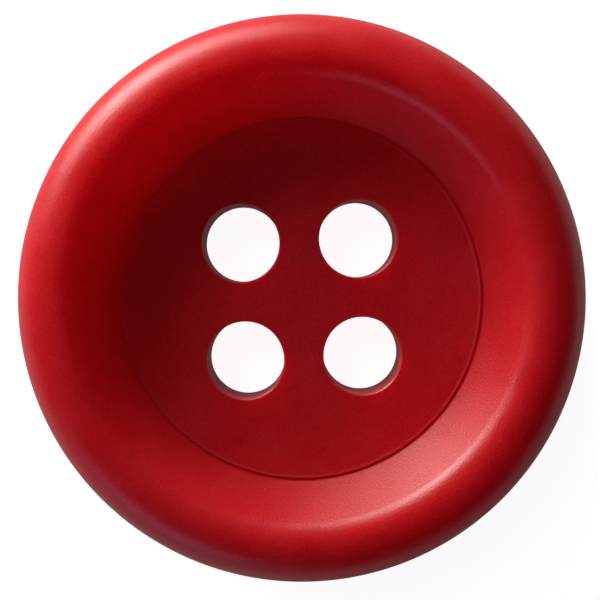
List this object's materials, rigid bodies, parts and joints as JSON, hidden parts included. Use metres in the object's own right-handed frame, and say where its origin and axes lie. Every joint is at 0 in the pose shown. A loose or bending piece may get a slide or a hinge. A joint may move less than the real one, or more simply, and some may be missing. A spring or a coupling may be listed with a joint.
{
  "type": "sew-through button",
  "caption": "Round sew-through button with a dished face, a rolled rim and plain round thread holes.",
  "frame": {"origin": "centre of the flat back, on the plane that the button lies on", "axes": "+Z along the button's axis, out of the dished face; +X and +Y along the sides of the square of thread holes"},
  "size_m": [0.0204, 0.0204, 0.0039],
  "materials": {
    "red_plastic": "satin"
  },
  "bodies": {
    "root": {"button": "red_plastic"}
  },
  "joints": []
}
